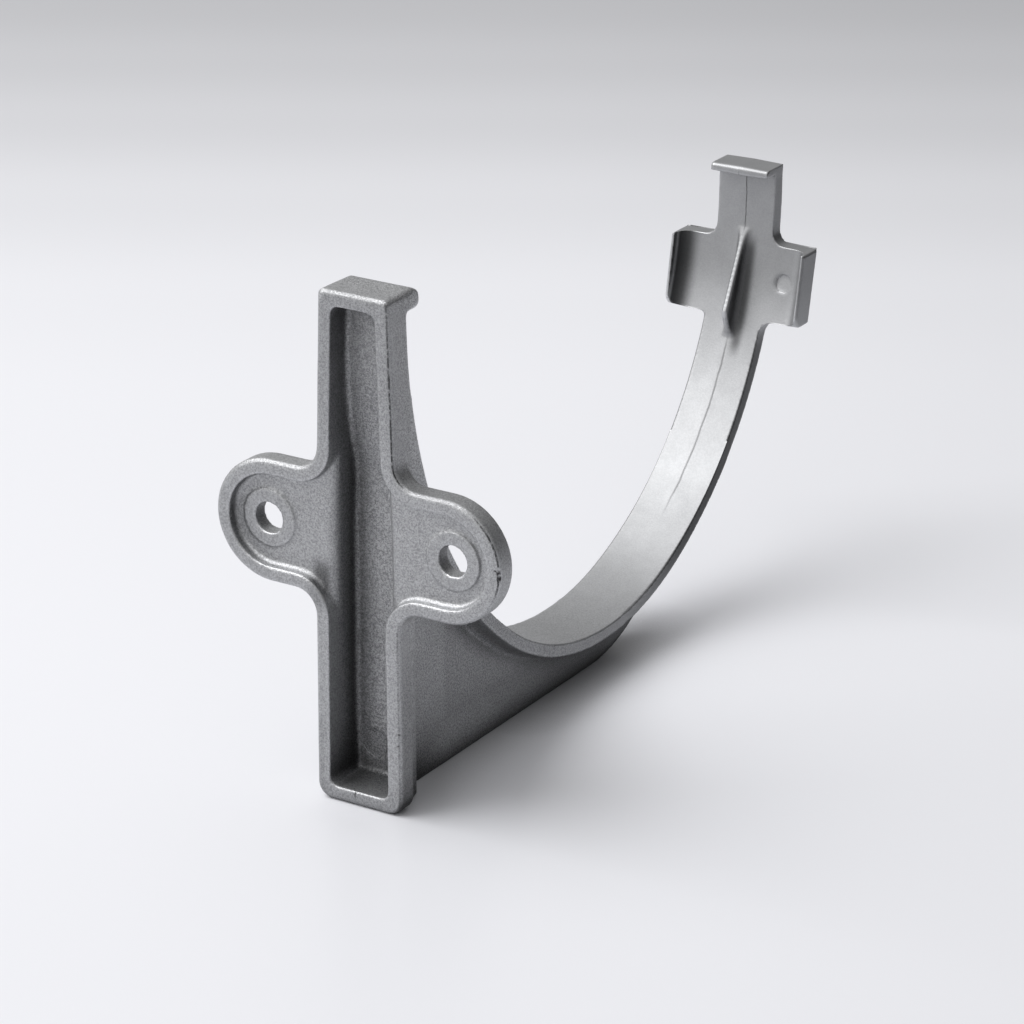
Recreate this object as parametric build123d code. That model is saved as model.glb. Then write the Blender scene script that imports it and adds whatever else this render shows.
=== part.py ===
from build123d import *
import os
from math import asin, atan2, cos, degrees, radians, sin, sqrt, tan

# Gutter bracket, investment cast in one piece: a ribbed wall flange with two screw ears, a half-round
# strap on a thin web, and a cross-shaped pad with turned-in lips that holds the front of the gutter.
# Millimetres. X runs across the flange, Y from the wall plane out to the pad, Z up.

# Wall flange, seen from the wall side
flange_height = 100.0
flange_thickness = 4.7
stem_top_half_width = 7.5  # at the very top, from where the stem widens downwards
stem_middle_half_width = 9.0  # at the middle of the ears
stem_foot_half_width = 9.4  # at the ground
top_corner_radius = 1.2
foot_corner_radius = 3.0
stem_side_draft = 3.0  # degrees, behind the flange

# Screw ears
hole_spacing = 40.0
hole_height = 53.0
hole_diameter = 6.0
ear_radius = 12.0
ear_inset = 1.1  # the ear's arc is struck this far inboard of its hole
ear_neck_radius = 4.6
boss_diameter = 11.4
boss_height = 0.45

# Recess of the wall side: a shallow floor in the ears and a deep channel down the stem
rim_width = 2.9
ear_floor_depth = 1.9
channel_depth = 8.3
channel_top_wall = 1.5  # between the channel and the strap, at the top of the flange
channel_arc_radius = 83.1
channel_arc_height = 88.0
recess_draft = 5.0  # degrees
channel_lip_radius = 2.1  # rolls the ear's floor over into the channel
channel_floor_radius = 0.8
channel_bend_radius = 10.0
ear_floor_radius = 0.8
recess_corner_radius = 1.8

# Casing of the channel, hidden behind the flange
casing_half_width = 7.6
casing_draft = 10.0  # degrees
casing_back_radius = 2.6
casing_foot = 0.6
casing_wall_thickness = 2.5
solid_neck_foot = 63.0  # above this height flange, channel and strap are one block

# Strap: three tangent arcs in the side view
neck_back = 6.35  # inner face of the strap behind the top of the flange
front_inner = 144.8  # inner face of the strap at the pad
bowl_low_y = 77.4
bowl_low_height = 10.0
neck_arc_radius = 87.0
bowl_arc_radius = 59.1
front_arc_radius = 73.5
strap_thickness = 2.7
strap_half_width_at_pad = 6.75

# Hook along the top of the flange
hook_reach = 11.0
hook_height = 3.8
hook_top_radius = 2.2
hook_tip_radius = 1.2
hook_root_radius = 0.8

# Web under the strap
web_thickness = 6.2
web_straight_end = 78.0
web_tail_radius = 35.0
web_tail_sweep = 60.0  # degrees
web_root_bevel = 1.0

# Front pad, a cross on the end of the strap
pad_top = 87.3
pad_thickness = 3.6
top_lip_stand = 3.4
top_lip_half_width = 6.8
top_lip_thickness = 1.9
top_lip_edge_radius = 0.9
arm_half_span = 16.0
arm_bottom = 55.0
arm_top = 71.0
arm_back_at_bottom = 144.4
arm_back_step = 0.3  # the arms stand this proud of the strap behind their top edge
arm_root_radius = 2.5
dressed_root_radius = 0.9  # lower left root, filed sharper than the others
lip_stand_at_top = 3.1
lip_stand_at_bottom = 1.9
lip_thickness = 1.5
lip_root_radius = 2.5
lip_toe_radius = 2.6  # front lower corner of a lip
arm_end_bevel = 0.6

# Gusset on the pad's inner face
gusset_thickness = 1.3
gusset_top = 73.8
gusset_crest_height = 57.0
gusset_bottom = 51.6
gusset_stand = 4.5
gusset_tip_radius = 2.0
gusset_root_radius = 1.2

stem_bend_radius = 150.0  # where the stem changes its slope behind the ears
rim_edge = 0.6  # bevels
back_edge = 0.4

# Lengths of the shapes that only trim or cut
floor_overrun = 1.0  # how far the channel is cut past its floor before it is trimmed to it
block_overrun = 3.0  # how far the neck block runs past the hook
margin = 20.0  # how far the trimming outlines run past the object
near = 0.01  # how close a point lies to count as on a face or an edge


def front_sketch(points):
    """Closed outline in the front view from (x, z) points."""
    return Plane.XZ * make_face(Polyline(*points, close=True))


def side_sketch(points):
    """Closed outline in the side view from (y, z) points."""
    return Plane.YZ * make_face(Polyline(*points, close=True))


def is_level(edge, y):
    """True of an edge that lies in the plane at this y."""
    box = edge.bounding_box()
    return abs(box.min.Y - y) < near and abs(box.max.Y - y) < near


def across(sketch, half_width):
    """Extrudes a side-view outline the same way to both sides of the middle."""
    return extrude(sketch, amount=half_width, both=True)


def mirrored(points):
    """Mirrors a run of (x, z) points in the middle plane and closes it up."""
    return points + [(-x, z) for x, z in reversed(points)]


def point_at(centre, radius, angle):
    return (centre[0] + radius * cos(radians(angle)), centre[1] + radius * sin(radians(angle)))


def angle_to(centre, point):
    return degrees(atan2(point[1] - centre[1], point[0] - centre[0]))


def lower_height(y, centre, radius):
    """Height of the lower half of a side-view circle at y."""
    return centre[1] - sqrt(radius**2 - (y - centre[0]) ** 2)


# Side-view geometry of the strap. The bowl's arc carries the other two: each touches it and an upright line.
bowl_centre = (bowl_low_y, bowl_low_height + bowl_arc_radius)


def upright_arc_centre(y, bowl_radius, radius):
    """Centre, at y, of an arc of this radius that touches the bowl's arc from outside."""
    return (y, bowl_centre[1] + sqrt((radius - bowl_radius) ** 2 - (y - bowl_centre[0]) ** 2))


neck_centre = upright_arc_centre(neck_back + neck_arc_radius, bowl_arc_radius, neck_arc_radius)
front_centre = upright_arc_centre(front_inner - front_arc_radius, bowl_arc_radius, front_arc_radius)
outer_bowl_radius = bowl_arc_radius + strap_thickness
outer_front_radius = front_arc_radius + strap_thickness
outer_front_centre = upright_arc_centre(
    front_inner + pad_thickness - outer_front_radius, outer_bowl_radius, outer_front_radius
)


def strap_line(offset, front_middle, front_radius):
    """The three arcs of one face of the strap, from behind the flange round to the pad."""
    neck_radius = neck_arc_radius + offset
    bowl_radius = bowl_arc_radius + offset
    neck_turn = angle_to(neck_centre, bowl_centre)
    front_turn = angle_to(front_middle, bowl_centre)
    neck_start = point_at(neck_centre, neck_radius, -180)
    neck_end = point_at(neck_centre, neck_radius, neck_turn)
    bowl_end = point_at(bowl_centre, bowl_radius, front_turn)
    front_end = point_at(front_middle, front_radius, 0)
    return [
        ThreePointArc(neck_start, point_at(neck_centre, neck_radius, (neck_turn - 180) / 2), neck_end),
        ThreePointArc(neck_end, point_at(bowl_centre, bowl_radius, (neck_turn + front_turn) / 2), bowl_end),
        ThreePointArc(bowl_end, point_at(front_middle, front_radius, front_turn / 2), front_end),
    ]


def wall_side(line):
    """Side-view face of all that lies outside one face of the strap: towards the wall, below and in front."""
    start, end = line[0] @ 0, line[-1] @ 1
    far = end.X + margin
    corners = [(end.X, flange_height), (far, flange_height), (far, -margin), (0, -margin), (0, flange_height)]
    rest = Polyline(end, *corners, (start.X, flange_height), start)
    return Plane.YZ * make_face(line + rest.edges())


def inner_face_y(height):
    """Y of the strap's inner face in its front arc at a height."""
    return front_centre[0] + sqrt(front_arc_radius**2 - (height - front_centre[1]) ** 2)


def outer_face_y(height):
    """Y of the strap's outer face in its front arc at a height."""
    return outer_front_centre[0] + sqrt(outer_front_radius**2 - (height - outer_front_centre[1]) ** 2)


def neck_face_y(height):
    """Y of the strap's inner face in its neck arc at a height."""
    return neck_centre[0] - sqrt(neck_arc_radius**2 - (neck_centre[1] - height) ** 2)


def stem_half_width(height):
    """Half width of the stem at a height. It widens downwards, less steeply below the ears' middle."""
    if height > hole_height:
        share = (flange_height - height) / (flange_height - hole_height)
        return stem_top_half_width + share * (stem_middle_half_width - stem_top_half_width)
    share = (hole_height - height) / hole_height
    return stem_middle_half_width + share * (stem_foot_half_width - stem_middle_half_width)


def corners_at(sketch, point):
    """The corner of a side-view outline at (y, z)."""
    return [v for v in sketch.vertices() if abs(v.Y - point[0]) < near and abs(v.Z - point[1]) < near]


def is_ear_neck(corner):
    """True of a corner where the straight side of an ear meets the stem."""
    at_ear_side = abs(abs(corner.Z - hole_height) - ear_radius) < near
    return at_ear_side and abs(corner.X) < stem_half_width(corner.Z) + near


def is_hook_root(corner):
    """True of the corner where the underside of the hook meets the strap's inner face."""
    return abs(corner.Z - hook_low) < near and corner.Y < hook_reach - hook_tip_radius - near


def is_arm_root(edge, side, height):
    """True of the short edge where an arm's upper or lower side meets the side of the strap."""
    middle = edge @ 0.5
    on_side = abs(side * middle.X - strap_half_width(middle.Y)) < near
    at_height = abs(middle.Z - height) < near and middle.Y > inner_face_y(height)
    return on_side and at_height and edge.length > 2 * arm_back_step


def is_channel_floor(face):
    """True of a face at the bottom of the channel's solid, facing away from the wall."""
    return face.normal_at().Y > 0.9 and face.center().Y > ear_floor_depth + channel_lip_radius


def times_listed(edge, edges):
    """How often an edge stands in a list: twice where two faces of the list share it."""
    return sum(1 for other in edges if (other @ 0.5 - edge @ 0.5).length < near)


def round_ends(sketch, top_radius, foot_radius):
    """Rounds the corners at the top and the foot of a front-view outline."""
    box = sketch.bounding_box()
    rounded = fillet([v for v in sketch.vertices() if v.Z > box.max.Z - near], top_radius)
    return fillet([v for v in rounded.vertices() if v.Z < box.min.Z + near], foot_radius)


def is_lip_root(edge):
    """True of the long edge where a lip's inner side meets the arm's inner face."""
    middle = edge @ 0.5
    on_side = abs(abs(middle.X) - lip_inner_x) < near
    return on_side and abs(middle.Y - inner_face_y(middle.Z)) < near and edge.length > lip_root_radius


def is_web_root(edge):
    """True of the arcs where the sides of the web meet the underside of the strap."""
    box = edge.bounding_box()
    on_side = abs(abs(box.min.X) - web_thickness / 2) < near and box.max.X - box.min.X < near
    return on_side and box.min.Z > strap_thickness and edge.geom_type == GeomType.CIRCLE


def is_gusset_root(edge):
    """True of the long edges where the gusset's sides meet the pad's inner face."""
    middle = edge @ 0.5
    on_side = abs(abs(middle.X) - gusset_thickness / 2) < near
    along = gusset_bottom < middle.Z < gusset_top
    return on_side and along and abs(middle.Y - inner_face_y(middle.Z)) < near


lip_inner_x = arm_half_span - lip_thickness
outside_inner_face = wall_side(strap_line(0, front_centre, front_arc_radius))
outside_outer_face = wall_side(strap_line(strap_thickness, outer_front_centre, outer_front_radius))
pad_back = front_inner + pad_thickness

# Outline of the flange: a stem that widens downwards in two slopes, and two round ears
stem_heights = (0, hole_height, flange_height)
stem = front_sketch(mirrored([(-stem_half_width(height), height) for height in stem_heights]))
stem = fillet([v for v in stem.vertices() if abs(v.Z - hole_height) < near], stem_bend_radius)
ear_x = hole_spacing / 2 - ear_inset
ears = Rectangle(2 * ear_x, 2 * ear_radius)
ears += [Pos(side * ear_x, 0) * Circle(ear_radius) for side in (-1, 1)]
outline = stem + Plane.XZ * Pos(0, hole_height) * ears
outline = fillet([v for v in outline.vertices() if is_ear_neck(v)], ear_neck_radius)
contour = round_ends(offset(outline, -rim_width), recess_corner_radius, recess_corner_radius)
channel_contour = round_ends(offset(stem, -rim_width), recess_corner_radius, recess_corner_radius)
outline = round_ends(outline, top_corner_radius, foot_corner_radius)
flange = extrude(outline, amount=-flange_thickness)
flange = chamfer([e for e in flange.edges() if is_level(e, 0)], rim_edge)
flange = chamfer([e for e in flange.edges() if is_level(e, flange_thickness)], back_edge)

# Neck block: above the notch the stem runs back to the strap's inner face, its sides drafted inwards
block_start = flange_thickness - 2 * back_edge
block_end = hook_reach + block_overrun
block_depth = block_end - block_start
narrowing = block_depth * tan(radians(stem_side_draft))


def block_section(y, inset):
    low = stem_half_width(solid_neck_foot) - inset
    high = stem_top_half_width - inset
    section = front_sketch(mirrored([(-low, solid_neck_foot), (-high, flange_height)]))
    corners = [v for v in section.vertices() if v.Z > flange_height - near]
    return Pos(0, y, 0) * fillet(corners, top_corner_radius)


block = loft([block_section(block_start, 0), block_section(block_end, narrowing)], ruled=True)

# Hook: a lip along the top of the neck, rounded over on top and at its tip
hook_low = flange_height - hook_height
hook = side_sketch([(0, flange_height), (hook_reach, flange_height), (hook_reach, hook_low), (0, hook_low)])
hook = fillet([v for v in hook.vertices() if v.Y > near and v.Z > flange_height - near], hook_top_radius)
hook = fillet([v for v in hook.vertices() if v.Y > near and v.Z < hook_low + near], hook_tip_radius)
neck_side = outside_inner_face + hook
neck_side = fillet([v for v in neck_side.vertices() if is_hook_root(v)], hook_root_radius)
neck_block = block & across(neck_side, 2 * stem_top_half_width)

# Strap: the band between its two faces, its width tapering in plan from the neck block to the pad
neck_y = neck_face_y(solid_neck_foot)
neck_half_width = stem_half_width(solid_neck_foot) - (neck_y - block_start) * tan(radians(stem_side_draft))
widening = (neck_half_width - strap_half_width_at_pad) / (front_inner - neck_y)


def strap_half_width(y):
    return strap_half_width_at_pad + widening * (front_inner - y)


def box_in_side_view(y_low, y_high, z_low, z_high):
    return side_sketch([(y_low, z_low), (y_high, z_low), (y_high, z_high), (y_low, z_high)])


plan_end = pad_back + margin
plan_left = [(-strap_half_width(0), 0), (-strap_half_width(plan_end), plan_end)]
strap_plan = make_face(Polyline(*plan_left, *[(-x, y) for x, y in reversed(plan_left)], close=True))
behind_block = box_in_side_view(0, block_end + margin, solid_neck_foot, flange_height + margin)
above_pad = box_in_side_view(front_centre[0], plan_end + margin, pad_top, flange_height + margin)
band = outside_inner_face - outside_outer_face - behind_block - above_pad
strap = across(band, 2 * neck_half_width) & extrude(strap_plan, amount=flange_height)

# Casing of the channel, behind the lower stem
casing_y = channel_depth + casing_wall_thickness
casing_back_half_width = casing_half_width - (casing_y - flange_thickness) * tan(radians(casing_draft))
casing_left = [(-casing_half_width, flange_thickness / 2), (-casing_half_width, flange_thickness)]
casing_left += [(-casing_back_half_width, casing_y)]
casing_plan = make_face(Polyline(*casing_left, *[(-x, y) for x, y in reversed(casing_left)], close=True))
casing_plan = fillet([v for v in casing_plan.vertices() if v.Y > casing_y - near], casing_back_radius)
casing = Pos(0, 0, casing_foot) * extrude(casing_plan, amount=solid_neck_foot + casing_y)
casing = casing & across(outside_inner_face, casing_half_width)

# Web: a thin rib from the casing to the underside of the strap, standing on the ground
tail_centre = (web_straight_end, web_tail_radius)
tail_end = point_at(tail_centre, web_tail_radius, web_tail_sweep - 90)
tail_middle = point_at(tail_centre, web_tail_radius, web_tail_sweep / 2 - 90)
web_bottom = [Line((flange_thickness, 0), (web_straight_end, 0))]
web_bottom += [ThreePointArc((web_straight_end, 0), tail_middle, tail_end)]
web_top = [(tail_end[0], hole_height), (flange_thickness, hole_height), (flange_thickness, 0)]
web_outline = Plane.YZ * make_face(web_bottom + Polyline(tail_end, *web_top).edges())
web = across(web_outline & outside_inner_face, web_thickness / 2)

# Arms and lips of the front pad: a plate with a nearly flat back, and a lip along each end
lip_toe = (inner_face_y(arm_bottom) - lip_stand_at_bottom, arm_bottom)
lip_top = (inner_face_y(arm_top) - lip_stand_at_top, arm_top)
arm_back_at_top = (outer_face_y(arm_top) + arm_back_step, arm_top)
arm_side = side_sketch([lip_toe, (arm_back_at_bottom, arm_bottom), arm_back_at_top, lip_top])
lips = across(arm_side, arm_half_span) - across(arm_side, lip_inner_x)
arms = across(arm_side & outside_inner_face, arm_half_span) + lips
arms = fillet([e for e in arms.edges() if is_lip_root(e)], lip_root_radius)
arms = arms & across(fillet(corners_at(arm_side, lip_toe), lip_toe_radius), arm_half_span)
arms = chamfer([e for e in arms.edges() if abs((e @ 0.5).X) > arm_half_span - near], arm_end_bevel)

body = flange + neck_block + strap + casing + web + arms
body = chamfer([e for e in body.edges() if is_web_root(e)], web_root_bevel)
for side in (-1, 1):
    for height in (arm_bottom, arm_top):
        dressed = side < 0 and height == arm_bottom
        root = [e for e in body.edges() if is_arm_root(e, side, height)]
        body = fillet(root, dressed_root_radius if dressed else arm_root_radius)

# Lip along the top of the pad
top_lip_front = inner_face_y(pad_top) - top_lip_stand
top_lip_side = box_in_side_view(top_lip_front, pad_back, pad_top - top_lip_thickness, pad_top)
top_lip_side = fillet(corners_at(top_lip_side, (top_lip_front, pad_top)), top_lip_edge_radius)
top_lip = across(top_lip_side, top_lip_half_width)

# Gusset on the pad's inner face, highest near its lower end
crest = (inner_face_y(gusset_crest_height) - gusset_stand, gusset_crest_height)
buried = pad_thickness / 2
gusset_root = [(inner_face_y(gusset_bottom) + offset, gusset_bottom) for offset in (0, buried)]
gusset_root += [(inner_face_y(gusset_top) + offset, gusset_top) for offset in (buried, 0)]
gusset = side_sketch([crest] + gusset_root)
gusset = across(fillet(corners_at(gusset, crest), gusset_tip_radius), gusset_thickness / 2)
body = body + top_lip + gusset
body = fillet([e for e in body.edges() if is_gusset_root(e)], gusset_root_radius)

# Recess of the wall side: the ears' floor, and the channel, which gets shallower above the ears
ear_recess = extrude(contour, amount=-ear_floor_depth, taper=recess_draft)
ear_recess = fillet([e for e in ear_recess.edges() if is_level(e, ear_floor_depth)], ear_floor_radius)
floor_top = (neck_back - channel_top_wall, channel_arc_height)
floor_centre = (floor_top[0] + channel_arc_radius, channel_arc_height)
floor_bend = (channel_depth, lower_height(channel_depth, floor_centre, channel_arc_radius))
floor_middle = point_at(floor_centre, channel_arc_radius, (angle_to(floor_centre, floor_bend) - 180) / 2)
floor_line = [Line((channel_depth, 0), floor_bend), ThreePointArc(floor_bend, floor_middle, floor_top)]
wall_corners = [(floor_top[0], flange_height), (-margin, flange_height), (-margin, 0)]
floor_rest = Polyline(floor_top, *wall_corners, (channel_depth, 0))
above_floor = Plane.YZ * make_face(floor_line + floor_rest.edges())
above_floor = fillet(corners_at(above_floor, floor_bend), channel_bend_radius)
channel = extrude(channel_contour, amount=-(channel_depth + floor_overrun), taper=recess_draft)
channel = channel & across(above_floor, 2 * stem_foot_half_width)
floor_edges = [e for f in channel.faces() if is_channel_floor(f) for e in f.edges()]
channel = fillet([e for e in floor_edges if times_listed(e, floor_edges) == 1], channel_floor_radius)


def roll_section(height):
    """Plan-view section of the metal cut away where the ear's floor rolls over into the channel."""
    wall_x = stem_half_width(height) - rim_width - ear_floor_depth * tan(radians(recess_draft))
    centre_x = wall_x + channel_lip_radius * tan(radians(45 - recess_draft / 2))
    centre = (centre_x, ear_floor_depth + channel_lip_radius)
    turn = [-90, (recess_draft - 270) / 2, recess_draft - 180]
    roll = [point_at(centre, channel_lip_radius, angle) for angle in turn]
    inside_x = wall_x / 2
    inside = [(inside_x, roll[2][1]), (inside_x, ear_floor_depth / 2), (centre_x, ear_floor_depth / 2)]
    section = make_face([ThreePointArc(*roll)] + Polyline(roll[2], *inside, roll[0]).edges())
    return Pos(0, 0, height) * section


rolls = loft([roll_section(height) for height in stem_heights], ruled=True)
rolls = (rolls + mirror(rolls, Plane.YZ)) & extrude(contour, amount=-channel_depth, taper=recess_draft)
body = body - ear_recess - (channel + rolls)

# Screw holes, each in a low round boss on the ear's floor
for side in (-1, 1):
    seat = (side * hole_spacing / 2, ear_floor_depth - boss_height, hole_height)
    on_boss = Plane(origin=seat, z_dir=(0, 1, 0))
    body += on_boss * extrude(Circle(boss_diameter / 2), amount=2 * boss_height)
    body -= on_boss * extrude(Circle(hole_diameter / 2), amount=flange_thickness, both=True)

# The origin is midway between the screw holes, on the face where the screw heads seat
bracket = Pos(0, -flange_thickness, -hole_height) * body
os.makedirs("parts", exist_ok=True)
export_step(bracket, "parts/bracket.step")
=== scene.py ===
import bpy
import bmesh
import math
import numpy as np
from mathutils import Matrix, Vector


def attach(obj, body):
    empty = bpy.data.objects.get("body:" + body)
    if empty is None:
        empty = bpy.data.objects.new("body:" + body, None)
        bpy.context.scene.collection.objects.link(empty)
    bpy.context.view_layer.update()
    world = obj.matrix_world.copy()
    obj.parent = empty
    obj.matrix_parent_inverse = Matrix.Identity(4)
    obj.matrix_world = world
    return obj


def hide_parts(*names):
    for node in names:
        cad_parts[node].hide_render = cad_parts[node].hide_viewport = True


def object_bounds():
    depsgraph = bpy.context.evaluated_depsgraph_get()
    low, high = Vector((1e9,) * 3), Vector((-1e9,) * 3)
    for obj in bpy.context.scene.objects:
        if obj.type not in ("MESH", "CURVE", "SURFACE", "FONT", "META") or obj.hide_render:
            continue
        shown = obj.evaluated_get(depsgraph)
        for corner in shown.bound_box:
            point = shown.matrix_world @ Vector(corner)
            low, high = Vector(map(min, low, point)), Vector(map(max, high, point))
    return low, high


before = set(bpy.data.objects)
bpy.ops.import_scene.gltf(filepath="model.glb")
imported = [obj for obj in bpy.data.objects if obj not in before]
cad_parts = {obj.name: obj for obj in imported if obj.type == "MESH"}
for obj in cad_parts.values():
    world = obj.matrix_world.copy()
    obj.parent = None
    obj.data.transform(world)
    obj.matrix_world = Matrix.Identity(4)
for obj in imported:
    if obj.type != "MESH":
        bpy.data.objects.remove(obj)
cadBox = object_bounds()
print("frame loaded", list(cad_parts))

scene = bpy.context.scene
ground = cadBox[0][2]  # the bracket stands on the foot of its flange and on its web


# Small helpers for node trees
def newMaterial(name):
    material = bpy.data.materials.new(name)
    material.use_nodes = True
    material.node_tree.nodes.clear()
    return material, material.node_tree


def addNode(tree, kind, **settings):
    node = tree.nodes.new(kind)
    for key, value in settings.items():
        if key in node.inputs:
            node.inputs[key].default_value = value
        else:
            setattr(node, key, value)
    return node


def feed(tree, socket, value):
    if isinstance(value, bpy.types.NodeSocket):
        tree.links.new(value, socket)
    else:
        socket.default_value = value


def calculate(tree, operation, *values):
    node = addNode(tree, "ShaderNodeMath", operation=operation)
    for socket, value in zip(node.inputs, values):
        feed(tree, socket, value)
    return node.outputs[0]


def total(tree, *values):
    result = values[0]
    for value in values[1:]:
        result = calculate(tree, "ADD", result, value)
    return result


def product(tree, *values):
    result = values[0]
    for value in values[1:]:
        result = calculate(tree, "MULTIPLY", result, value)
    return result


def vectorMath(tree, operation, *values):
    node = addNode(tree, "ShaderNodeVectorMath", operation=operation)
    for socket, value in zip(node.inputs, values):
        feed(tree, socket, value)
    return node.outputs["Value" if operation in ("DOT_PRODUCT", "LENGTH") else "Vector"]


def scaled(tree, vector, factor):
    node = addNode(tree, "ShaderNodeVectorMath", operation="SCALE")
    feed(tree, node.inputs["Vector"], vector)
    feed(tree, node.inputs["Scale"], factor)
    return node.outputs["Vector"]


def apart(tree, vector):
    node = addNode(tree, "ShaderNodeSeparateXYZ")
    feed(tree, node.inputs["Vector"], vector)
    return node.outputs


def ease(tree, value, low, high, toLow=0.0, toHigh=1.0, kind="SMOOTHSTEP"):
    # goes from toLow to toHigh while the value goes from low to high
    node = addNode(tree, "ShaderNodeMapRange", interpolation_type=kind)
    feed(tree, node.inputs["Value"], value)
    for key, number in (("From Min", low), ("From Max", high), ("To Min", toLow), ("To Max", toHigh)):
        feed(tree, node.inputs[key], number)
    return node.outputs["Result"]


def blend(tree, share, none, full):
    return ease(tree, share, 0.0, 1.0, none, full, "LINEAR")


def mixColour(tree, factor, a, b, kind="MIX"):
    node = addNode(tree, "ShaderNodeMix", data_type="RGBA", blend_type=kind)
    feed(tree, node.inputs[0], factor)
    feed(tree, node.inputs[6], a)  # 6, 7 and 2 are the node's colour sockets
    feed(tree, node.inputs[7], b)
    return node.outputs[2]


def darkened(tree, colour, tone):
    return mixColour(tree, 1.0, colour, tone, "MULTIPLY")


def noiseAt(tree, place, size, detail=2.0, roughness=0.5, output="Fac"):
    node = addNode(tree, "ShaderNodeTexNoise", Detail=detail, Roughness=roughness)
    feed(tree, node.inputs["Scale"], calculate(tree, "DIVIDE", 1.0, size))
    feed(tree, node.inputs["Vector"], place)
    return node.outputs[output]


def opennessAt(tree, reach, samples):
    node = addNode(tree, "ShaderNodeAmbientOcclusion", samples=samples, Distance=reach)
    return node.outputs["AO"]


def grey(level):
    return (level, level, level, 1.0)


noiseMiddle = 0.5  # a noise runs from 0 to 1 round this


# The casting: the CAD shape with its edges worn round, the skin's slow unevenness and its few marks
casting = {
    "mergeDistance": 0.000002,  # metres, as all lengths here
    "cell": 0.000497,
    "octreeDepth": 9,
    "smoothing": 0.5,
    "relaxing": 1,  # turns of smoothing before the mesh is laid back on the CAD shape
    "wearing": 3,  # and after it
    "strapArcs": (  # seen along X: the centre's Y and Z, the radius and the span in degrees
        {"centre": (0.08865, 0.03899), "radius": 0.0870, "span": (-180, -124.9)},  # neck
        {"centre": (0.07270, 0.01610), "radius": 0.0591, "span": (-124.9, -64.9)},  # bowl, inside
        {"centre": (0.07270, 0.01610), "radius": 0.0618, "span": (-124.9, -68.8)},  # bowl, outside
        {"centre": (0.06660, 0.02914), "radius": 0.0735, "span": (-64.9, 5)},  # front, inside
        {"centre": (0.06750, 0.02953), "radius": 0.0762, "span": (-68.8, 5)},  # front, outside
    ),
    "earArcs": (  # seen along Y, the same on both ears: the centre's distance from the middle and its Z
        {"centre": (0.0189, 0.0), "radius": 0.0120, "span": (-90, 90)},  # end of the ear
        {"centre": (0.0200, 0.0), "radius": 0.0057, "span": (-181, 181)},  # boss
        {"centre": (0.0200, 0.0), "radius": 0.0030, "span": (-181, 181)},  # screw hole
    ),
    "arcReach": 0.00006,  # how near an arc a point is to be drawn onto it
    "waveSize": 0.006,
    "waveHeight": 0.00005,
    "rippleSize": 0.0013,
    "rippleHeight": 0.00001,
    "crownSlope": 0.025,  # the strap's two mould halves slope away from the parting line
    "crownRange": (0.095, 0.115),
    "plainMark": {  # what a mark has unless it says otherwise; it is found by looking along Y
        "from": -0.05, "edge": 0.0001, "depth": 0.0, "dark": 0.0, "lean": None, "squash": (1, 1, 1),
    },
    "marks": (
        {"name": "ejector mark in the channel", "x": -0.0018, "z": -0.0436, "radius": 0.0028,
         "edge": 0.0004, "depth": 0.00016},
        {"name": "ejector mark on the right arm", "x": 0.0103, "z": 0.0105, "radius": 0.0019,
         "from": 0.11, "edge": 0.0004, "depth": 0.0004, "lean": (-1, 0, 0.3)},
        {"name": "nick in the right ear, upper end", "x": 0.0299, "z": 0.0007, "radius": 0.00025,
         "edge": 0.0003, "depth": 0.0003, "dark": 0.9},
        {"name": "nick in the right ear, middle", "x": 0.0304, "z": 0.0004, "radius": 0.0003,
         "edge": 0.0003, "depth": 0.0003, "dark": 0.9},
        {"name": "nick in the right ear, lower end", "x": 0.0306, "z": -0.0005, "radius": 0.00025,
         "edge": 0.0003, "depth": 0.0003, "dark": 0.9, "squash": (1, 1, 0.5)},
        {"name": "line across the lower rim, inner", "x": -0.0016, "z": -0.0500, "radius": 0.00014,
         "dark": 0.7, "squash": (1, 1, 0.2)},
        {"name": "line across the lower rim, outer", "x": -0.0008, "z": -0.0506, "radius": 0.00014,
         "dark": 0.7, "squash": (1, 1, 0.15)},
        {"name": "upper speck, right rim", "x": 0.0091, "z": -0.0180, "radius": 0.00016, "dark": 0.6},
        {"name": "middle speck, right rim", "x": 0.0090, "z": -0.0362, "radius": 0.00018, "dark": 0.7},
        {"name": "lower speck, right rim", "x": 0.0088, "z": -0.0385, "radius": 0.00018, "dark": 0.7},
        {"name": "dark curve in the channel", "x": -0.0024, "z": -0.0413, "radius": 0.00016,
         "dark": 0.8, "squash": (0.22, 1, 1)},
    ),
}


def applied(piece):
    graph = bpy.context.evaluated_depsgraph_get()
    mesh = bpy.data.meshes.new_from_object(piece.evaluated_get(graph))
    piece.modifiers.clear()
    piece.data = mesh
    return piece


def smoothed(piece, share, turns):
    smooth = piece.modifiers.new("smooth", "SMOOTH")
    smooth.factor = share
    smooth.iterations = turns


def drawOntoArc(points, axis, side, arc, reach):
    across = points[:, axis] * side - arc["centre"][0]
    up = points[:, 2] - arc["centre"][1]
    radius = np.hypot(across, up)
    turn = np.degrees(np.arctan2(up, across))
    near = np.abs(arc["radius"] - radius) < reach
    near &= (turn > arc["span"][0]) & (turn < arc["span"][1])
    share = np.where(near, arc["radius"] / radius - 1.0, 0.0)
    points[:, axis] += across * share * side
    points[:, 2] += up * share


def roundFaces(mesh, settings):
    # takes the flats out of the round faces
    points = np.empty(len(mesh.vertices) * 3)
    mesh.vertices.foreach_get("co", points)
    points = points.reshape(-1, 3)
    for arc in settings["strapArcs"]:
        drawOntoArc(points, 1, 1.0, arc, settings["arcReach"])
    for arc in settings["earArcs"]:
        drawOntoArc(points, 0, np.sign(points[:, 0]), arc, settings["arcReach"])
    mesh.vertices.foreach_set("co", points.ravel())
    mesh.update()


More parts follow.
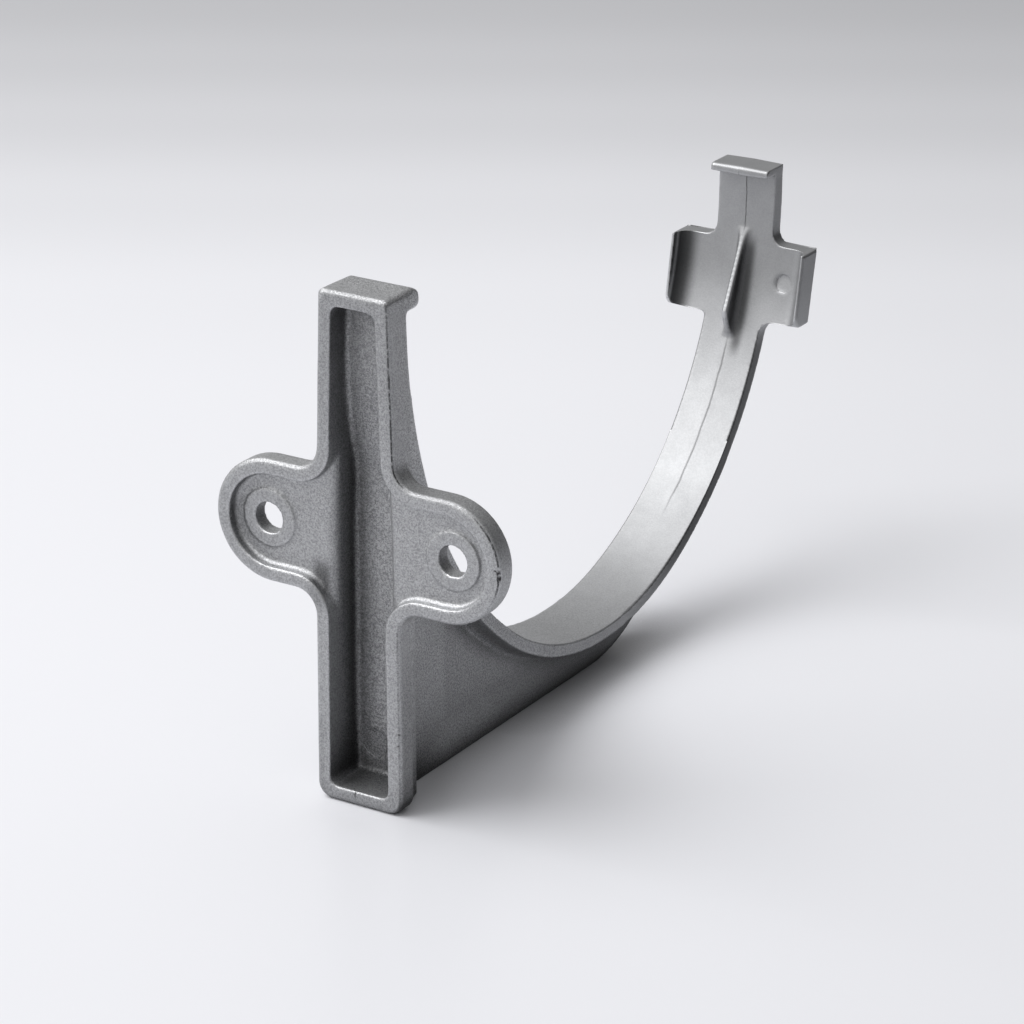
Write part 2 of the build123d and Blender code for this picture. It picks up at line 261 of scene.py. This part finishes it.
def wornCopy(node, settings):
    mesh = node.data.copy()
    work = bmesh.new()
    work.from_mesh(mesh)
    bmesh.ops.remove_doubles(work, verts=work.verts, dist=settings["mergeDistance"])
    work.to_mesh(mesh)
    work.free()
    piece = bpy.data.objects.new("casting", mesh)
    scene.collection.objects.link(piece)
    remesh = piece.modifiers.new("remesh", "REMESH")
    remesh.mode = "SHARP"
    remesh.octree_depth = settings["octreeDepth"]
    remesh.scale = max(node.dimensions) / (settings["cell"] * 2 ** settings["octreeDepth"])
    remesh.use_remove_disconnected = False
    remesh.use_smooth_shade = True
    smoothed(piece, settings["smoothing"], settings["relaxing"])
    wrap = piece.modifiers.new("wrap", "SHRINKWRAP")
    wrap.target = node
    wrap.wrap_method = "NEAREST_SURFACEPOINT"
    applied(piece)
    roundFaces(piece.data, settings)
    smoothed(piece, settings["smoothing"], settings["wearing"])
    print("edges worn")
    return applied(piece)


def findMarks(piece, settings):
    marks = []
    for mark in settings["marks"]:
        mark = {**settings["plainMark"], **mark}
        centre = piece.ray_cast((mark["x"], mark["from"], mark["z"]), (0, 1, 0))[1]
        marks.append({**mark, "centre": tuple(centre)})
    return marks


def markShare(tree, place, mark, edge):
    # how far a point lies inside a mark, from 0 to 1
    offset = vectorMath(tree, "SUBTRACT", place, mark["centre"])
    away = vectorMath(tree, "LENGTH", vectorMath(tree, "MULTIPLY", offset, mark["squash"]))
    share = ease(tree, away, mark["radius"] + edge, mark["radius"] - edge)
    share.node.label = mark["name"]
    if mark["lean"]:  # deepest at the side that it leans to
        side = vectorMath(tree, "DOT_PRODUCT", offset, mark["lean"])
        leaning = ease(tree, side, -mark["radius"], mark["radius"], kind="LINEAR")
        share = product(tree, share, leaning)
    return share


def sunkDepth(tree, place, given, marks, settings):
    # how far below the CAD surface a point of the skin lies
    spot = apart(tree, place)
    crown = product(tree, calculate(tree, "ABSOLUTE", spot["X"]), settings["crownSlope"])
    depths = [
        product(tree, noiseAt(tree, place, given["Wave Size"]), given["Wave Height"]),
        product(tree, noiseAt(tree, place, given["Ripple Size"]), given["Ripple Height"]),
        product(tree, crown, ease(tree, spot["Y"], *settings["crownRange"])),
    ]
    for mark in marks:
        if mark["depth"]:
            depths.append(product(tree, markShare(tree, place, mark, mark["edge"]), mark["depth"]))
    return total(tree, *depths)


def surfaceTree(marks, settings):
    tree = bpy.data.node_groups.new("cast_surface", "GeometryNodeTree")
    kinds = {"Casting": "Geometry", "Wave Size": "Float", "Wave Height": "Float",
             "Ripple Size": "Float", "Ripple Height": "Float", "Skin": "Material"}
    inputs = {}
    for name, kind in kinds.items():
        socket = tree.interface.new_socket(name, in_out="INPUT", socket_type="NodeSocket" + kind)
        inputs[name] = socket.identifier
    tree.interface.new_socket("Casting", in_out="OUTPUT", socket_type="NodeSocketGeometry")
    given = addNode(tree, "NodeGroupInput").outputs
    place = addNode(tree, "GeometryNodeInputPosition").outputs["Position"]
    normal = addNode(tree, "GeometryNodeInputNormal").outputs["Normal"]
    depth = sunkDepth(tree, place, given, marks, settings)
    moved = addNode(tree, "GeometryNodeSetPosition")
    feed(tree, moved.inputs["Geometry"], given["Casting"])
    feed(tree, moved.inputs["Offset"], scaled(tree, normal, product(tree, depth, -1.0)))
    real = addNode(tree, "GeometryNodeRealizeInstances")
    feed(tree, real.inputs["Geometry"], moved.outputs["Geometry"])
    finish = addNode(tree, "GeometryNodeSetMaterial")
    feed(tree, finish.inputs["Geometry"], real.outputs["Geometry"])
    feed(tree, finish.inputs["Material"], given["Skin"])
    feed(tree, addNode(tree, "NodeGroupOutput").inputs["Casting"], finish.outputs["Geometry"])
    return tree, inputs


def makeCasting(piece, marks, settings, skin):
    tree, inputs = surfaceTree(marks, settings)
    surface = piece.modifiers.new("surface", "NODES")
    surface.node_group = tree
    surface[inputs["Wave Size"]] = settings["waveSize"]
    surface[inputs["Wave Height"]] = settings["waveHeight"]
    surface[inputs["Ripple Size"]] = settings["rippleSize"]
    surface[inputs["Ripple Height"]] = settings["rippleHeight"]
    surface[inputs["Skin"]] = skin
    applied(piece)
    for face in piece.data.polygons:
        face.use_smooth = True
    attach(piece, "root")
    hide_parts("bracket")
    triangles = sum(len(face.vertices) - 2 for face in piece.data.polygons)
    print("casting made,", triangles, "triangles")


# The blasted cast skin
castSkin = {
    "light": (0.60, 0.605, 0.617, 1.0),
    "dark": (0.20, 0.202, 0.208, 1.0),
    "stain": (0.03, 0.028, 0.027, 1.0),
    "midTone": 0.5,
    "roughness": (0.57, 0.45),  # of the dark and of the light
    "layers": {  # noises: their size in metres, the range that counts and how much of the tone they are
        "grain": {"size": 0.00038, "detail": 2.0, "roughness": 0.6, "range": (0.32, 0.68), "tone": 0.40},
        "fine": {"size": 0.00019, "detail": 1.0, "roughness": 0.5, "range": (0.3, 0.7), "tone": 0.22},
        "mottle": {"size": 0.0032, "detail": 4.0, "roughness": 0.6, "range": (0.3, 0.7), "tone": 0.05},
        "cloud": {"size": 0.016, "detail": 2.0, "roughness": 0.5, "range": (0.3, 0.7), "tone": 0.06},
    },
    "grain": {  # it is finer towards the pad, and coarser in the channel than on the rim
        "height": 0.00011, "fineShare": 0.45,
        "alongRange": (0.02, 0.10), "atPad": 0.12,
        "depthRange": (-0.004, 0.004), "onRim": 0.8, "inChannel": 1.3,
    },
    "recessShade": {  # painted shade in recesses, deepest where they face right, away from the lamp
        "reach": 0.012, "samples": 8, "openRange": (0.15, 0.85), "tone": 0.45,
        "closedRange": (0.92, 0.5), "turnAtFlange": (0.15, 0.8), "turnAtPad": (-0.05, 0.35),
        "heightRange": (-0.03, 0.02), "shadedSideTone": 0.26, "shadedSideTop": 0.6,
    },
    "farEndShade": {  # painted shade towards the pad on the sides that face right, and the pad lighter at its foot than at its head
        "alongRange": (0.08, 0.105), "padStart": (-0.006, 0.004), "sideRange": (0.15, 0.8),
        "strapSide": 0.3, "padSide": 0.75,
        "padRange": (0.004, 0.014), "padFoot": 1.1, "padHead": 0.88,
    },
    "facingRange": (0.2, 0.5),
    "lightAndShadeZones": (  # painted shade and painted light in places, and a few plainly darker patches: a box with soft sides, the way its skin faces, and its tone
        {"name": "beside the left lip", "tone": 0.25, "facing": (0, -1, 0),
         "low": (-0.02, 0.1, -0.010), "high": (-0.0113, 0.2, 0.022), "soft": (0.0034, 0.01, 0.004)},
        {"name": "right of the gusset", "tone": 0.38, "facing": (0, -1, 0),
         "low": (0.0009, 0.1, -0.004), "high": (0.0029, 0.2, 0.018), "soft": (0.0018, 0.01, 0.004)},
        {"name": "channel floor, left", "tone": 0.62,
         "low": (-0.0060, 0.0015, -0.047), "high": (-0.0033, 0.02, 0.024), "soft": (0.0028, 0.002, 0.012)},
        {"name": "channel floor, right", "tone": 1.15,
         "low": (-0.0012, 0.0015, -0.042), "high": (0.02, 0.02, 0.046), "soft": (0.002, 0.002, 0.01)},
        {"name": "left ear's groove", "tone": 0.45,
         "low": (-0.0312, -0.0036, -0.011), "high": (-0.0274, 0.003, 0.007),
         "soft": (0.0016, 0.001, 0.006)},
        {"name": "ear grooves that look up", "tone": 1.5, "facing": (0, 0, 1),
         "low": (-0.04, -0.0044, -0.016), "high": (0.04, 0.0012, 0.003), "soft": (0.002, 0.0008, 0.002)},
        {"name": "left lip's crest", "tone": 4.5, "facing": (0, -1, 0),
         "low": (-0.02, 0.1, -0.010), "high": (-0.0145, 0.2, 0.022), "soft": (0.0003, 0.01, 0.004)},
        {"name": "roll under the left ear", "tone": 0.45,
         "low": (-0.0105, -0.0046, -0.0150), "high": (-0.0070, 0.003, -0.0065),
         "soft": (0.002, 0.001, 0.004)},
        {"name": "upper rim", "tone": 0.87,
         "low": (-0.02, -0.006, 0.022), "high": (0.02, -0.0038, 0.06), "soft": (0.002, 0.0008, 0.02)},
        {"name": "lower left rim", "tone": 0.86,
         "low": (-0.02, -0.006, -0.06), "high": (-0.0075, -0.0038, -0.038), "soft": (0.002, 0.0008, 0.01)},
        {"name": "web and lower flange side", "tone": 0.86, "facing": (1, 0, 0),
         "low": (0.0, -0.0035, -0.0495), "high": (0.03, 0.2, -0.022), "soft": (0.001, 0.001, 0.012)},
        {"name": "bottom of the web", "tone": 2.1,
         "low": (-0.02, 0.016, -0.06), "high": (0.02, 0.2, -0.048), "soft": (0.002, 0.012, 0.010)},
        {"name": "middle of the strap", "tone": 0.9,
         "low": (-0.02, 0.105, -0.040), "high": (0.02, 0.15, -0.012), "soft": (0.002, 0.01, 0.024)},
    ),
    "edgeShadeAndNicks": {  # painted dark reflection on the front edges that face right, broken by a noise into small nicks
        "tone": 0.22, "below": 0.3, "heightRange": (-0.020, -0.008),
        "slant": 0.74, "slantRange": (0.14, 0.07), "rightRange": (0.3, 0.5), "upRange": (-0.45, -0.1),
        "depthRange": (-0.0034, -0.0040), "acrossRange": (0.006, 0.008),
        "nickSize": 0.0009, "nickRange": (0.3, 0.55),
    },
    "edge": {  # outer edges are worn smoother, and brightened as a painted highlight
        "pointRange": (0.51, 0.56), "tone": 1.24, "roughness": 0.40,
    },
    "mark": {  # the stain of a mark and the crisp dent round it
        "edge": 0.00012, "depth": 0.00012, "noiseSize": 0.0007, "wander": 0.0006,
    },
    "seam": {  # the parting line: on the pad above the gusset, and down the strap
        "wander": 0.0006,
        "reach": 0.004,  # how far the step beside the line runs out to the sides
        "runs": (
            {"heightRange": (0.0190, 0.0345), "fade": 0.003, "start": 0.12, "width": 0.00018,
             "dark": 0.65, "step": 0.00005},
            {"heightRange": (-0.034, 0.001), "fade": 0.006, "start": 0.10, "width": 0.00030,
             "dark": 0.22, "step": 0.00009},
        ),
    },
}


def layerTone(tree, noise, layer):
    centred = calculate(tree, "SUBTRACT", ease(tree, noise, *layer["range"]), noiseMiddle)
    return product(tree, centred, layer["tone"])


def grainStrength(tree, along, grain):
    towardsPad = ease(tree, along, *grain["alongRange"], 1.0, grain["atPad"])
    intoChannel = ease(tree, along, *grain["depthRange"], grain["onRim"], grain["inChannel"])
    return product(tree, towardsPad, intoChannel)


def partingLine(tree, spot, mottle, seam):
    # how dark the line is at a place, and the height of the step beside it
    wander = product(tree, calculate(tree, "SUBTRACT", mottle, noiseMiddle), seam["wander"])
    offLine = calculate(tree, "ADD", spot["X"], wander)
    distance = calculate(tree, "ABSOLUTE", offLine)
    stains = []
    steps = []
    for run in seam["runs"]:
        low, high = run["heightRange"]
        here = product(
            tree,
            ease(tree, spot["Z"], low, low + run["fade"]),
            ease(tree, spot["Z"], high, high - run["fade"]),
            calculate(tree, "GREATER_THAN", spot["Y"], run["start"]),
        )
        stains.append(product(tree, ease(tree, distance, run["width"], 0.0, 0.0, run["dark"]), here))
        step = ease(tree, offLine, run["width"], -run["width"], 0.0, run["step"])
        steps.append(product(tree, step, ease(tree, distance, seam["reach"], 0.0), here))
    return total(tree, *stains), total(tree, *steps)


def markStains(tree, place, marks, look):
    # how dark the marks are at a place, and their depth, with ragged outlines
    noise = noiseAt(tree, place, look["noiseSize"], output="Color")
    centred = vectorMath(tree, "SUBTRACT", noise, (noiseMiddle, noiseMiddle, noiseMiddle))
    ragged = vectorMath(tree, "ADD", place, scaled(tree, centred, look["wander"]))
    shares = [markShare(tree, ragged, mark, look["edge"]) for mark in marks]
    stains = [product(tree, share, mark["dark"]) for share, mark in zip(shares, marks)]
    return total(tree, *stains), product(tree, total(tree, *shares), look["depth"])


def paintedRecessShade(tree, height, rightward, far, recessShade):
    # painted shade: darker where the surround is hidden, and most of all on the sides that face right
    openness = opennessAt(tree, recessShade["reach"], recessShade["samples"])
    limits = [ease(tree, far, 0.0, 1.0, *pair) for pair in zip(recessShade["turnAtFlange"], recessShade["turnAtPad"])]
    onShadedSide = product(tree, ease(tree, rightward, *limits), ease(tree, openness, *recessShade["closedRange"]))
    shadedSideTone = ease(tree, height, *recessShade["heightRange"], recessShade["shadedSideTone"], recessShade["shadedSideTop"])
    shadedSideTone = ease(tree, far, 0.0, 1.0, shadedSideTone, recessShade["shadedSideTone"])
    depthTone = ease(tree, openness, *recessShade["openRange"], recessShade["tone"], 1.0)
    return product(tree, depthTone, blend(tree, onShadedSide, 1.0, shadedSideTone))


def farEndShading(tree, height, rightward, far, farEndShade):
    # painted shade on the right sides towards the pad; the pad's face goes from lighter at its foot to
    # darker at its head
    atPad = ease(tree, height, *farEndShade["padStart"])
    onSide = product(tree, far, ease(tree, rightward, *farEndShade["sideRange"]))
    sideTone = ease(tree, atPad, 0.0, 1.0, farEndShade["strapSide"], farEndShade["padSide"])
    padTone = ease(tree, height, *farEndShade["padRange"], farEndShade["padFoot"], farEndShade["padHead"])
    onPad = product(tree, far, atPad)
    return product(tree, blend(tree, onSide, 1.0, sideTone), blend(tree, onPad, 1.0, padTone))


def paintedZoneTone(tree, spot, normal, zone, facingRange):
    # painted shade inside a box with soft sides; a tone above 1 paints light instead
    sides = []
    for axis, low, high, soft in zip("XYZ", zone["low"], zone["high"], zone["soft"]):
        sides.append(ease(tree, spot[axis], low - soft / 2, low + soft / 2))
        sides.append(ease(tree, spot[axis], high + soft / 2, high - soft / 2))
    if "facing" in zone:
        facing = vectorMath(tree, "DOT_PRODUCT", normal, zone["facing"])
        sides.append(ease(tree, facing, *facingRange))
    tone = blend(tree, product(tree, *sides), 1.0, zone["tone"])
    tone.node.label = zone["name"]
    return tone


def edgeShadeAndNicksTone(tree, place, spot, normal, edgeShadeAndNicks):
    # painted dark reflection along right-facing front edges, with small nicks
    facing = apart(tree, normal)
    offSlant = calculate(tree, "ABSOLUTE", calculate(tree, "ADD", facing["Y"], edgeShadeAndNicks["slant"]))
    shadeAndNicks = product(
        tree,
        ease(tree, offSlant, *edgeShadeAndNicks["slantRange"]),
        ease(tree, facing["X"], *edgeShadeAndNicks["rightRange"]),
        ease(tree, facing["Z"], *edgeShadeAndNicks["upRange"]),
        ease(tree, spot["Y"], *edgeShadeAndNicks["depthRange"]),
        ease(tree, spot["X"], *edgeShadeAndNicks["acrossRange"]),
        ease(tree, spot["Z"], *edgeShadeAndNicks["heightRange"], edgeShadeAndNicks["below"], 1.0),
        ease(tree, noiseAt(tree, place, edgeShadeAndNicks["nickSize"]), *edgeShadeAndNicks["nickRange"]),
    )
    return blend(tree, shadeAndNicks, 1.0, edgeShadeAndNicks["tone"])


def skinShade(tree, place, spot, normal, wornEdgeHighlight, settings):
    # one factor from all the painted shade and painted light that make the skin darker or brighter in
    # places
    farEndShade = settings["farEndShade"]
    far = ease(tree, spot["Y"], *farEndShade["alongRange"])
    rightward = vectorMath(tree, "DOT_PRODUCT", normal, (1, 0, 0))
    lightAndShadeZones = [paintedZoneTone(tree, spot, normal, zone, settings["facingRange"]) for zone in settings["lightAndShadeZones"]]
    return product(
        tree,
        paintedRecessShade(tree, spot["Z"], rightward, far, settings["recessShade"]),
        farEndShading(tree, spot["Z"], rightward, far, farEndShade),
        *lightAndShadeZones,
        edgeShadeAndNicksTone(tree, place, spot, normal, settings["edgeShadeAndNicks"]),
        blend(tree, wornEdgeHighlight, 1.0, settings["edge"]["tone"]),
    )


def makeCastSkin(settings, marks):
    material, tree = newMaterial("blasted_cast_skin")
    place = addNode(tree, "ShaderNodeTexCoord").outputs["Object"]
    spot = apart(tree, place)
    geometry = addNode(tree, "ShaderNodeNewGeometry").outputs
    # edges that stick out: smoother from wear, and brighter as a painted highlight
    wornEdgeHighlight = ease(tree, geometry["Pointiness"], *settings["edge"]["pointRange"])
    strength = grainStrength(tree, spot["Y"], settings["grain"])

    noises = {}
    tones = {}
    for name, layer in settings["layers"].items():
        noises[name] = noiseAt(tree, place, layer["size"], layer["detail"], layer["roughness"])
        tones[name] = layerTone(tree, noises[name], layer)
    speckle = product(tree, total(tree, tones["grain"], tones["fine"]), strength)
    tone = total(tree, speckle, tones["mottle"], tones["cloud"], settings["midTone"])

    seamStain, seamStep = partingLine(tree, spot, noises["mottle"], settings["seam"])
    markStain, markDepth = markStains(tree, place, marks, settings["mark"])
    colour = mixColour(tree, tone, settings["dark"], settings["light"])
    colour = mixColour(tree, seamStain, colour, settings["stain"])
    shade = skinShade(tree, place, spot, geometry["Normal"], wornEdgeHighlight, settings)
    colour = darkened(tree, colour, shade)
    colour = mixColour(tree, markStain, colour, settings["stain"])

    grain = total(tree, noises["grain"], product(tree, noises["fine"], settings["grain"]["fineShare"]))
    grain = product(tree, grain, strength, settings["grain"]["height"])
    height = calculate(tree, "SUBTRACT", total(tree, grain, seamStep), markDepth)
    bump = addNode(tree, "ShaderNodeBump", Strength=1.0, Distance=1.0)  # the height is in metres
    feed(tree, bump.inputs["Height"], height)

    shader = addNode(tree, "ShaderNodeBsdfPrincipled", Metallic=1.0)
    roughness = blend(tree, tone, *settings["roughness"])
    feed(tree, shader.inputs["Base Color"], colour)
    feed(tree, shader.inputs["Roughness"], blend(tree, wornEdgeHighlight, roughness, settings["edge"]["roughness"]))
    feed(tree, shader.inputs["Normal"], bump.outputs["Normal"])
    output = addNode(tree, "ShaderNodeOutputMaterial")
    feed(tree, output.inputs["Surface"], shader.outputs["BSDF"])
    return material


piece = wornCopy(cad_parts["bracket"], casting)
marks = findMarks(piece, casting)
makeCasting(piece, marks, casting, makeCastSkin(castSkin, marks))

# The camera, matched to the photograph
photoView = {
    "place": (0.38495, -0.56767, 0.27659),
    "azimuth": 31.98,  # degrees
    "elevation": 21.67,
    "lens": 143.23,  # mm
    "sensor": 36.0,
    "clip": (0.05, 50.0),
}


def makeCamera(settings):
    data = bpy.data.cameras.new("photo_view")
    data.lens = settings["lens"]
    data.sensor_width = settings["sensor"]
    data.clip_start, data.clip_end = settings["clip"]
    camera = bpy.data.objects.new("photo_view", data)
    scene.collection.objects.link(camera)
    azimuth = math.radians(settings["azimuth"])
    elevation = math.radians(settings["elevation"])
    level = math.cos(elevation)
    back = Vector((math.sin(azimuth) * level, -math.cos(azimuth) * level, math.sin(elevation)))
    right = Vector((math.cos(azimuth), math.sin(azimuth), 0))
    turn = Matrix((right, back.cross(right), back)).transposed().to_4x4()
    camera.matrix_world = Matrix.Translation(settings["place"]) @ turn
    scene.camera = camera


# The floor: pale, with painted shade that greys it far away and a little to the right, and a painted
# contact shadow close to the bracket
paleFloor = {
    "colour": (0.828, 0.832, 0.868, 1.0),
    "roughness": 0.3,
    "refraction": 1.3,
    "halfSize": 4.0,
    "awayRange": (-0.1, 0.6),  # metres from the origin, straight away from the camera
    "awayShades": (  # from near to far
        (0.0, 0.96), (0.25, 0.985), (0.45, 0.98), (0.56, 0.955), (0.68, 0.865),
        (0.79, 0.75), (0.88, 0.67), (0.97, 0.60), (1.0, 0.57),
    ),
    "rightRange": (0.02, 0.2),  # metres to the right of the origin
    "rightShade": 0.94,
    "contactShadow": {  # painted contact shadow: close to the bracket the floor is darker on the right, and painted a little lighter on the lamp's side
        "reach": 0.016, "samples": 8, "openRange": (0.3, 1.0),
        "acrossRange": (0.002, 0.014), "lampSideLift": 1.1, "rightShade": 0.48,
    },
}


def paintedContactShadow(tree, right, contactShadow):
    # painted contact shadow where the bracket hides the surround
    openness = opennessAt(tree, contactShadow["reach"], contactShadow["samples"])
    tone = ease(tree, right, *contactShadow["acrossRange"], contactShadow["lampSideLift"], contactShadow["rightShade"])
    return ease(tree, openness, *contactShadow["openRange"], tone, 1.0)


def floorMaterial(settings, azimuth):
    material, tree = newMaterial("pale_floor")
    turned = addNode(tree, "ShaderNodeMapping", Rotation=(0, 0, -math.radians(azimuth)))
    feed(tree, turned.inputs["Vector"], addNode(tree, "ShaderNodeTexCoord").outputs["Object"])
    spot = apart(tree, turned.outputs["Vector"])
    # painted shade: the floor greys with distance from the camera
    ramp = addNode(tree, "ShaderNodeValToRGB")
    feed(tree, ramp.inputs["Fac"], ease(tree, spot["Y"], *settings["awayRange"], kind="LINEAR"))
    ramp.color_ramp.interpolation = "EASE"
    elements = ramp.color_ramp.elements
    while len(elements) < len(settings["awayShades"]):
        elements.new(0.5)
    for element, (share, level) in zip(elements, settings["awayShades"]):
        element.position = share
        element.color = grey(level)
    # painted shade to the right, and the painted contact shadow
    rightShade = ease(tree, spot["X"], *settings["rightRange"], 1.0, settings["rightShade"])
    tone = product(tree, rightShade, paintedContactShadow(tree, spot["X"], settings["contactShadow"]))
    colour = darkened(tree, darkened(tree, settings["colour"], ramp.outputs["Color"]), tone)
    look = {"Roughness": settings["roughness"], "IOR": settings["refraction"]}
    shader = addNode(tree, "ShaderNodeBsdfPrincipled", **look)
    feed(tree, shader.inputs["Base Color"], colour)
    output = addNode(tree, "ShaderNodeOutputMaterial")
    feed(tree, output.inputs["Surface"], shader.outputs["BSDF"])
    return material


def makeFloor(settings, azimuth):
    half = settings["halfSize"]
    mesh = bpy.data.meshes.new("floor")
    corners = [(-half, -half, ground), (half, -half, ground), (half, half, ground), (-half, half, ground)]
    mesh.from_pydata(corners, [], [(0, 1, 2, 3)])
    mesh.materials.append(floorMaterial(settings, azimuth))
    floor = bpy.data.objects.new("floor", mesh)
    scene.collection.objects.link(floor)


# The light: a soft surround, bright from the upper left and dim from the right, and one large lamp
softSurround = {
    "brightSide": (-0.62, -0.30, 0.73),
    "facingRange": (-0.6, 1.0),
    "dimLevel": 0.03,
    "brightLevel": 0.85,
}

keyLamp = {
    "direction": (-0.55, -0.30, 0.78),
    "aim": (0, 0.06, 0),
    "distance": 1.8,
    "size": 1.5,
    "power": 25.0,
}


def makeSurround(settings):
    world = bpy.data.worlds.new("studio")
    world.use_nodes = True
    scene.world = world
    tree = world.node_tree
    background = tree.nodes["Background"]
    background.inputs["Color"].default_value = grey(1.0)
    direction = addNode(tree, "ShaderNodeTexCoord").outputs["Generated"]
    bright = Vector(settings["brightSide"]).normalized()
    facing = vectorMath(tree, "DOT_PRODUCT", direction, tuple(bright))
    level = ease(tree, facing, *settings["facingRange"], settings["dimLevel"], settings["brightLevel"])
    feed(tree, background.inputs["Strength"], level)


def makeLamp(name, settings):
    data = bpy.data.lights.new(name, "AREA")
    data.size = settings["size"]
    data.energy = settings["power"]
    lamp = bpy.data.objects.new(name, data)
    scene.collection.objects.link(lamp)
    aim = Vector(settings["aim"])
    lamp.location = aim + Vector(settings["direction"]).normalized() * settings["distance"]
    lamp.rotation_euler = (lamp.location - aim).to_track_quat("Z", "Y").to_euler()


makeCamera(photoView)
makeFloor(paleFloor, photoView["azimuth"])
makeSurround(softSurround)
makeLamp("key", keyLamp)
scene.view_settings.view_transform = "Standard"
print("camera, floor and light made")
